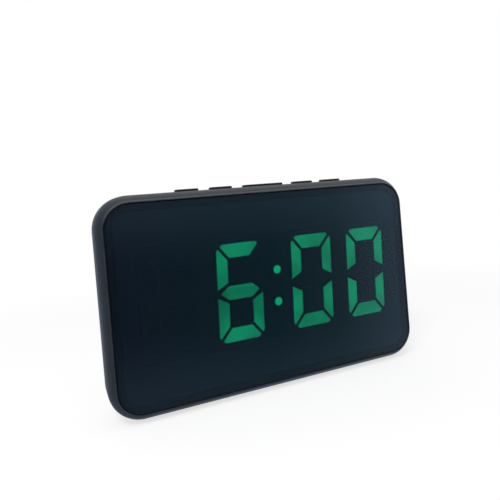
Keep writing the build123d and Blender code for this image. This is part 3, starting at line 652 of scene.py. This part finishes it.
def cell_jacket():
    """Film round a cell: slate, with a pale end and a thin dark line between them."""
    material, sheet = new_material("cell_jacket")
    height = sheet.axes()[2]
    pale = sheet.math("GREATER_THAN", height, CELL_BAND[1])
    line = sheet.math("SUBTRACT", sheet.math("GREATER_THAN", height, CELL_BAND[0]), pale)
    scuffs = sheet.patches(900.0, detail=5.0, roughness=0.7, fade=(0.55, 0.75))
    base = sheet.blend(pale, CELL_SLATE, CELL_PALE)
    base = sheet.blend(line, base, CELL_LINE)
    base = sheet.blend(sheet.math("MULTIPLY", scuffs, 0.25), base, CELL_SCUFF)
    rough = sheet.math("MULTIPLY_ADD", scuffs, 0.25, 0.27)
    sheet.surface(Base_Color=base, Roughness=rough, Normal=sheet.bump(scuffs, 0.004 * MM))
    return material


def make_finishes():
    """The material of each slot in the record."""
    return {
        # Painted shade on the shell's panel behind the lens, and a painted highlight on its upper lip
        "shell_plastic": moulded_plastic(
            "satin_shell", colour=(0.014, 0.017, 0.022), wear_and_highlight_colour=(0.06, 0.065, 0.075), roughness=0.40,
            grain=0.30 * MM, depth=0.004 * MM, dust=0.10, radius=0.5 * MM, gloss=0.3,
            panel_shade=painted_shade_behind_lens, lip=painted_lip_highlight),
        "cover_plastic": moulded_plastic(
            "grained_cover", colour=(0.016, 0.018, 0.022), wear_and_highlight_colour=(0.07, 0.07, 0.075), roughness=0.52,
            grain=0.45 * MM, depth=0.02 * MM, dust=0.12, gloss=0.3),
        "button_plastic": moulded_plastic(
            "smooth_button", colour=(0.007, 0.009, 0.012), wear_and_highlight_colour=(0.03, 0.033, 0.04), roughness=0.34,
            grain=0.25 * MM, depth=0.001 * MM, dust=0.08, gloss=0.25),
        "lens_glass": tinted_glass(),
        "tape": black_printed("foam_tape", colour=(0.035, 0.030, 0.030), roughness=0.8),
        "mask_film": black_printed("mask_film", colour=INNER_BLACK_AND_SHADE, roughness=0.6),
        "reflector_plastic": display_block(),
        "lit_segment": segment_window("lit_window", lit=True),
        "unlit_segment": segment_window("dark_window", lit=False),
        "board_green": circuit_board(),
        "led_package": moulded_plastic(
            "lamp_package", colour=(0.66, 0.66, 0.58), wear_and_highlight_colour=(0.7, 0.7, 0.65), roughness=0.4,
            grain=0.1 * MM, depth=0.001 * MM, dust=0.0),
        "switch_black": moulded_plastic(
            "switch_body", colour=(0.018, 0.018, 0.019), wear_and_highlight_colour=(0.05, 0.05, 0.05), roughness=0.5,
            grain=0.2 * MM, depth=0.006 * MM, radius=0.1 * MM),
        "stem_plastic": moulded_plastic(
            "switch_stem", colour=(0.55, 0.55, 0.53), wear_and_highlight_colour=(0.6, 0.6, 0.6), roughness=0.42,
            grain=0.2 * MM, depth=0.002 * MM, radius=0.1 * MM),
        "screw_steel": metal(
            "zinc_steel", colour=(0.60, 0.61, 0.63), tarnish=(0.42, 0.40, 0.36), roughness=0.26,
            squeeze=(1.0, 1.0, 0.2), scale=4000.0),
        "contact_steel": metal(
            "nickel_strip", colour=(0.66, 0.64, 0.60), tarnish=(0.48, 0.44, 0.38), roughness=0.24,
            squeeze=(1.0, 0.08, 1.0), scale=5000.0),
        "cell_jacket": cell_jacket(),
        "foot_rubber": moulded_plastic(
            "foot_rubber", colour=(0.018, 0.018, 0.018), wear_and_highlight_colour=(0.05, 0.05, 0.05), roughness=0.85,
            grain=0.35 * MM, depth=0.02 * MM),
        "jack_plastic": moulded_plastic(
            "jack_body", colour=(0.014, 0.014, 0.015), wear_and_highlight_colour=(0.06, 0.06, 0.06), roughness=0.42,
            grain=0.25 * MM, depth=0.003 * MM, radius=0.15 * MM),
        "wire_red_black": wire_pair(),
        "ribbon_grey": flat_cable(),
        "chip_black": chip_package(),
        "can_metal": metal(
            "drawn_can", colour=(0.70, 0.70, 0.71), tarnish=(0.55, 0.54, 0.52), roughness=0.30,
            squeeze=(1.0, 0.1, 1.0), scale=3500.0),
        "buzzer_black": moulded_plastic(
            "buzzer_case", colour=(0.016, 0.016, 0.017), wear_and_highlight_colour=(0.05, 0.05, 0.05), roughness=0.45,
            grain=0.3 * MM, depth=0.006 * MM),
    }


def softened(corners, reach, steps=4):
    """A run of corners with each inner one rounded. The rounding takes this reach to either side of it."""
    corners = [Vector(corner) for corner in corners]
    points = [corners[0]]
    for before, corner, after in zip(corners, corners[1:], corners[2:]):
        start = corner + (before - corner).normalized() * min(reach, (before - corner).length / 2)
        end = corner + (after - corner).normalized() * min(reach, (after - corner).length / 2)
        for step in range(steps + 1):
            share = step / steps
            points.append(start.lerp(corner, share).lerp(corner.lerp(end, share), share))
    return points + [corners[-1]]


def join_rings(bm, rings, finish=0):
    """Walls between neighbouring rings of points. A ring of one point is a pole."""
    sides = max(len(ring) for ring in rings)
    for lower, upper in zip(rings, rings[1:]):
        for step in range(sides):
            after = (step + 1) % sides
            corners = [lower[step % len(lower)], lower[after % len(lower)], upper[after % len(upper)],
                       upper[step % len(upper)]]
            bm.faces.new(list(dict.fromkeys(corners))).material_index = finish


def turned(bm, profile, sides=64, place=Matrix(), finish=0):
    """Adds a profile of radii and heights, turned about the local Z axis."""
    rings = []
    for radius, height in profile:
        turns = [2 * pi * step / sides for step in range(sides if radius > 0 else 1)]
        spots = [Vector((radius * cos(turn), radius * sin(turn), height)) for turn in turns]
        rings.append([bm.verts.new(place @ spot) for spot in spots])
    join_rings(bm, rings, finish)


def rounded_ring(half_x, half_y, radius):
    """Points of a rounded rectangle about the origin."""
    points = []
    for quarter, (side, end) in enumerate(((1, 1), (-1, 1), (-1, -1), (1, -1))):
        for step in range(CORNER_STEPS + 1):
            turn = (quarter + step / CORNER_STEPS) * pi / 2
            points.append((side * (half_x - radius) + radius * cos(turn),
                           end * (half_y - radius) + radius * sin(turn)))
    return points


def closed_stack(bm, rings):
    """Walls through rings of points, with a flat face at each end."""
    join_rings(bm, rings)
    bm.faces.new(rings[0])
    bm.faces.new(rings[-1])


def stacked(bm, layers):
    """Adds a closed form through level rounded rectangles: a height, two half widths and a corner radius."""
    closed_stack(bm, [[bm.verts.new((x, y, height)) for x, y in rounded_ring(half_x, half_y, radius)]
                      for height, half_x, half_y, radius in layers])


def mesh_from(bm, name):
    """The mesh of a finished form, with all its faces turned outwards."""
    bmesh.ops.recalc_face_normals(bm, faces=bm.faces)
    mesh = bpy.data.meshes.new(name)
    bm.to_mesh(mesh)
    bm.free()
    return mesh


def piece(name, bm, place, materials, body, node):
    """Puts a form in place as a piece. It rides on a body and stands for a CAD node."""
    mesh = mesh_from(bm, name)
    for material in materials:
        mesh.materials.append(material)
    mesh.shade_smooth()
    mesh.set_sharp_from_angle(angle=SMOOTH_ANGLE)
    made = bpy.data.objects.new(name, mesh)
    made.matrix_world = place
    bpy.context.scene.collection.objects.link(made)
    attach(made, body)
    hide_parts(node)


def make_button(name, finish):
    """Soft-edged cap with a dished top, its flange and its plunger."""
    low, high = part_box(name)
    middle = (low + high) / 2
    place = Matrix.Translation((middle.x, middle.y, low.z))
    height = high.z - low.z
    half_x, half_y = (high.x - low.x) / 2, (high.y - low.y) / 2
    cap_x, cap_y = half_x - FLANGE_RIM, half_y - FLANGE_RIM
    layers = [(level, PLUNGER_HALF, PLUNGER_HALF, FLANGE_CORNER) for level in (0.0, FLANGE_BOTTOM)]
    layers += [(level, half_x, half_y, FLANGE_CORNER) for level in (FLANGE_BOTTOM, FLANGE_TOP)]
    edge = softened([(FLANGE_TOP, 0.0), (height, 0.0), (height, CAP_FLAT)], CAP_EDGE, CORNER_STEPS)
    edge += [Vector((height - CAP_DISH * share, CAP_FLAT + CAP_DISH_RUN * share)) for share in (0.5, 1.0)]
    layers += [(level, cap_x - inset, cap_y - inset, max(CAP_CORNER - inset, CAP_CORNER_LEAST))
               for level, inset in edge]
    bm = bmesh.new()
    stacked(bm, layers)
    piece(name + "_cap", bm, place, [finish], name, name)


def cross_cutter():
    """Tapered cross that leaves the recess in a screw's head."""
    bm = bmesh.new()
    arm = [(RECESS_R, -RECESS_HALF), (RECESS_R, RECESS_HALF), (RECESS_HALF, RECESS_HALF)]
    outline = [Matrix.Rotation(quarter * pi / 2, 2) @ Vector(point)
               for quarter in range(4) for point in arm]
    rings = []
    for height, scale in zip((HEAD_T + RECESS_RUN_OUT, HEAD_T - RECESS_DEPTH), RECESS_TAPER):
        rings.append([bm.verts.new((x * scale, y * scale, height)) for x, y in outline])
    closed_stack(bm, rings)
    return bpy.data.objects.new("cross_cutter", mesh_from(bm, "cross_cutter"))


def screw_mesh(length):
    """Pan head with a cross recess over a threaded shank. The underside of the head is at height 0."""
    bm = bmesh.new()
    turns = int((length - SCREW_PLAIN) / THREAD_PITCH)
    tip = -length
    profile = [(0.0, tip), (SCREW_TIP_R, tip), (THREAD_ROOT_R, tip + SCREW_TIP)]
    for turn in range(turns):
        start = tip + SCREW_TIP + turn * THREAD_PITCH
        profile += [(SHANK_R, start + THREAD_CREST), (THREAD_ROOT_R, start + THREAD_END)]
    head = [(HEAD_R, 0.0), (HEAD_R, HEAD_SIDE_T), (HEAD_TOP_R, HEAD_T), (0.0, HEAD_T)]
    head = softened(head, HEAD_EDGE)
    profile += [(THREAD_ROOT_R, 0.0)] + [tuple(point) for point in head]
    turned(bm, profile, sides=48)
    whole, cutter = bpy.data.objects.new("screw", mesh_from(bm, "screw")), cross_cutter()
    for made in (whole, cutter):
        bpy.context.scene.collection.objects.link(made)
    step = whole.modifiers.new("recess", "BOOLEAN")
    step.operation = "DIFFERENCE"
    step.object = cutter
    cut = bpy.data.meshes.new_from_object(whole.evaluated_get(bpy.context.evaluated_depsgraph_get()))
    for made in (whole, cutter):
        bpy.data.objects.remove(made)
    return cut


def make_case_screws(finish):
    """Four screws in the wells of the rear cover, each turned to its own angle."""
    low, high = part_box("case_screws")
    mesh = screw_mesh(high.y - low.y - HEAD_T)
    reach = HEAD_R + BOX_CLEAR
    bm = bmesh.new()
    corners = [(x, z) for x in (low.x + reach, high.x - reach) for z in (low.z + reach, high.z - reach)]
    for angle, (x, z) in zip(SCREW_ANGLES, corners):
        start = len(bm.verts)
        bm.from_mesh(mesh)
        bm.verts.ensure_lookup_table()
        turn = Matrix.Rotation(radians(-90), 4, "X") @ Matrix.Rotation(radians(angle), 4, "Z")
        place = Matrix.Translation((x, high.y - HEAD_T, z)) @ turn
        bmesh.ops.transform(bm, matrix=place, verts=bm.verts[start:])
    piece("cross_screws", bm, Matrix(), [finish], "root", "case_screws")


def make_cell(name, jacket, steel):
    """Cell with a film jacket folded over both rims, a pressed base and a nub."""
    low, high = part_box(name)
    length = high.x - low.x
    flat_left = abs(low.x) < abs(high.x)
    turn = Matrix.Rotation(radians(90 if flat_left else -90), 4, "Y")
    start = low.x if flat_left else high.x
    place = Matrix.Translation((start, (low.y + high.y) / 2, (low.z + high.z) / 2)) @ turn
    shoulder = length - CELL_NUB_LEN
    inner = shoulder - CELL_BASE_IN
    bm = bmesh.new()
    base = [(0.0, 0.0), (CELL_RIM_R - CELL_BASE_BEVEL, 0.0), (CELL_RIM_R, CELL_BASE_IN)]
    turned(bm, softened(base, CELL_METAL_EDGE), finish=1)
    fold_in, fold_out = CELL_FOLD_HEIGHTS
    film = [(CELL_RIM_R, CELL_BASE_IN), (CELL_RIM_R + CELL_FOLD, fold_in), (CELL_R, fold_out),
            (CELL_R, shoulder - CELL_FOLD), (CELL_RIM_R, shoulder - CELL_FOLD), (CELL_RIM_R, inner)]
    turned(bm, softened(film, CELL_FILM_EDGE), finish=0)
    flare_drop, root_drop = CELL_NUB_DROPS
    nub = [(CELL_RIM_R, inner), (CELL_NUB_R + CELL_NUB_FLARE, shoulder - flare_drop),
           (CELL_NUB_R, shoulder - root_drop), (CELL_NUB_R, length), (0.0, length)]
    turned(bm, softened(nub, CELL_METAL_EDGE), finish=1)
    bmesh.ops.remove_doubles(bm, verts=bm.verts, dist=CELL_MERGE)
    piece(name + "_dressed", bm, place, [jacket, steel], "root", name)


def make_feet(rubber):
    """Four round feet with a soft lower edge and a shallow hollow underneath."""
    low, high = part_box("foot_pads")
    reach = FOOT_R + BOX_CLEAR
    bm = bmesh.new()
    profile = [(0.0, FOOT_HOLLOW), (FOOT_HOLLOW_R, FOOT_HOLLOW), (FOOT_TREAD_R, 0.0), (FOOT_R, 0.0),
               (FOOT_R, high.z), (0.0, high.z)]
    profile = softened(profile, FOOT_EDGE)
    for x in (low.x + reach, high.x - reach):
        for y in (low.y + reach, high.y - reach):
            turned(bm, profile, sides=48, place=Matrix.Translation((x, y, low.z)))
    piece("rubber_feet", bm, Matrix(), [rubber], "root", "foot_pads")


def make_jack(plastic, steel):
    """Power socket with a lead-in at its mouth and a round-nosed centre pin."""
    low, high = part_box("power_jack")
    middle = (low + high) / 2
    depth = high.y - low.y
    place = Matrix.Translation((middle.x, low.y, middle.z)) @ Matrix.Rotation(radians(-90), 4, "X")
    half_x, half_z = (high.x - low.x) / 2, (high.z - low.z) / 2
    bm = bmesh.new()
    shoulder = depth - JACK_NOSE_LEN
    lead_in, lead_depth = JACK_LEAD_IN
    stacked(bm, [(level, half_x - inset, half_z - inset, JACK_CORNER)
                 for level, inset in ((0.0, JACK_BEVEL), (JACK_BEVEL, 0.0), (shoulder, 0.0))])
    nose = [(JACK_NOSE_R, shoulder), (JACK_NOSE_R, depth), (JACK_BORE_R + lead_in, depth),
            (JACK_BORE_R, depth - lead_depth), (JACK_BORE_R, shoulder)]
    turned(bm, softened(nose, JACK_BEVEL))
    floor = depth - JACK_BORE_LEN
    turned(bm, [(JACK_BORE_R, shoulder), (JACK_BORE_R, floor), (0.0, floor)])
    pin = [(JACK_PIN_R, floor), (JACK_PIN_R, depth - JACK_PIN_BACK), (0.0, depth - JACK_PIN_BACK)]
    turned(bm, softened(pin, JACK_PIN_NOSE), sides=32, finish=1)
    piece("power_socket_body", bm, place, [plastic, steel], "root", "power_jack")


def place_camera():
    """Camera at the photograph's angle and distance."""
    data = bpy.data.cameras.new("photo_camera")
    data.lens = CAMERA_LENS
    data.sensor_width = CAMERA_SENSOR
    data.shift_y = CAMERA_SHIFT_Y
    data.clip_start = CAMERA_CLIP
    camera = bpy.data.objects.new("photo_camera", data)
    turn = Matrix.Rotation(radians(-CAMERA_YAW), 4, "Z")
    tilt = Matrix.Rotation(radians(90 + CAMERA_PITCH), 4, "X")
    roll = Matrix.Rotation(radians(CAMERA_ROLL), 4, "Z")
    camera.matrix_world = Matrix.Translation(CAMERA_PLACE) @ turn @ tilt @ roll
    bpy.context.scene.collection.objects.link(camera)
    bpy.context.scene.camera = camera


def room_colour(sheet):
    """Colour that gloss sees in a direction: a dark room in front, a paler one behind and white above."""
    heading = sheet.add("ShaderNodeTexCoord").outputs["Generated"]
    side, back, up = sheet.add("ShaderNodeSeparateXYZ", Vector=heading).outputs
    turn = sheet.math("DEGREES", sheet.math("ARCTAN2", side, sheet.math("MULTIPLY", back, -1.0)))
    first, last = ROOM_COLOURS[0][0], ROOM_COLOURS[-1][0]
    along = sheet.math("DIVIDE", sheet.math("SUBTRACT", turn, first), last - first, clamp=True)
    front = sheet.ramp(along, [((angle - first) / (last - first), colour) for angle, colour in ROOM_COLOURS])
    height = sheet.math("DEGREES", sheet.math("ARCSINE", up))
    rise = sheet.spread(sheet.away(height, ROOM_DARK_HEIGHT), *ROOM_RISE_FADE)
    front = sheet.blend(rise, front, ROOM_RISE_COLOUR, "ADD")
    around = sheet.blend(sheet.spread(back, *ROOM_BEHIND_FADE), front, ROOM_BEHIND_COLOUR)
    leftward = sheet.spread(side, *ROOM_LEFT_FADE, to_low=ROOM_LEFT_SHARE)
    above = sheet.math("MULTIPLY", sheet.spread(up, *ROOM_ABOVE_FADE), leftward)
    return sheet.blend(above, around, WHITE)


def make_sky():
    """Even studio light. The camera sees white behind the clock, and gloss and glass see the room."""
    world = bpy.data.worlds.new("studio")
    world.use_nodes = True
    bpy.context.scene.world = world
    sheet = Sheet(world.node_tree)
    ray = sheet.add("ShaderNodeLightPath").outputs
    plain = sheet.add("ShaderNodeBackground", Color=WHITE, Strength=SKY_LEVEL).outputs[0]
    room = sheet.add("ShaderNodeBackground", Color=room_colour(sheet), Strength=1.0).outputs[0]
    white = sheet.add("ShaderNodeBackground", Color=WHITE, Strength=1.0).outputs[0]
    mirrored = sheet.math("MAXIMUM", ray["Is Glossy Ray"], ray["Is Transmission Ray"])
    seen = sheet.mixed(ray["Is Camera Ray"], sheet.mixed(mirrored, plain, room), white)
    sheet.add("ShaderNodeOutputWorld", Surface=seen)


def make_floor():
    """Plain pale floor that keeps the clock's shadow and fades to white further off.

    Gloss looks through it into the room.
    """
    half = FLOOR_SIZE / 2
    corners = [(-half, -half, 0), (half, -half, 0), (half, half, 0), (-half, half, 0)]
    mesh = bpy.data.meshes.new("floor")
    mesh.from_pydata(corners, [], [(0, 1, 2, 3)])
    floor = bpy.data.objects.new("floor", mesh)
    bpy.context.scene.collection.objects.link(floor)
    material, sheet = new_material("pale_floor")
    ray = sheet.add("ShaderNodeLightPath").outputs
    plain = sheet.add("ShaderNodeBsdfPrincipled", Base_Color=FLOOR_COLOUR, Roughness=FLOOR_ROUGHNESS)
    white = sheet.add("ShaderNodeEmission", Color=WHITE, Strength=1.0).outputs[0]
    clear = sheet.add("ShaderNodeBsdfTransparent").outputs[0]
    away = sheet.add("ShaderNodeVectorMath", {"operation": "LENGTH"}, Vector=sheet.place()).outputs["Value"]
    glow = sheet.spread(away, *FLOOR_FADE, to_low=FLOOR_GLOW)
    shown = sheet.mixed(sheet.math("MULTIPLY", ray["Is Camera Ray"], glow), plain.outputs[0], white)
    sheet.add("ShaderNodeOutputMaterial", Surface=sheet.mixed(ray["Is Glossy Ray"], shown, clear))
    mesh.materials.append(material)


def place_key_light():
    """Soft lamp above, in front and to the left."""
    data = bpy.data.lights.new("key", "AREA")
    data.size = KEY_SIZE
    data.energy = KEY_POWER
    lamp = bpy.data.objects.new("key", data)
    aim = Vector(KEY_AIM) - Vector(KEY_PLACE)
    lamp.matrix_world = Matrix.Translation(KEY_PLACE) @ aim.to_track_quat("-Z", "Y").to_matrix().to_4x4()
    bpy.context.scene.collection.objects.link(lamp)


bpy.context.scene.view_settings.view_transform = "Standard"
place_camera()
make_sky()
place_key_light()
make_floor()

effect_moulded_grain()
effect_edge_wear()
effect_settled_dust()
effect_handling()
effect_drawn_lines()

finishes = make_finishes()
for name, finish_slot in slots.items():
    for material_slot in frame["nodes"][name].material_slots:
        material_slot.material = finishes[finish_slot]

for name in frame["nodes"]:
    if name.startswith("button_"):
        make_button(name, finishes["button_plastic"])
    if name.startswith("cell_"):
        make_cell(name, finishes["cell_jacket"], finishes["can_metal"])
make_case_screws(finishes["screw_steel"])
make_feet(finishes["foot_rubber"])
make_jack(finishes["jack_plastic"], finishes["contact_steel"])
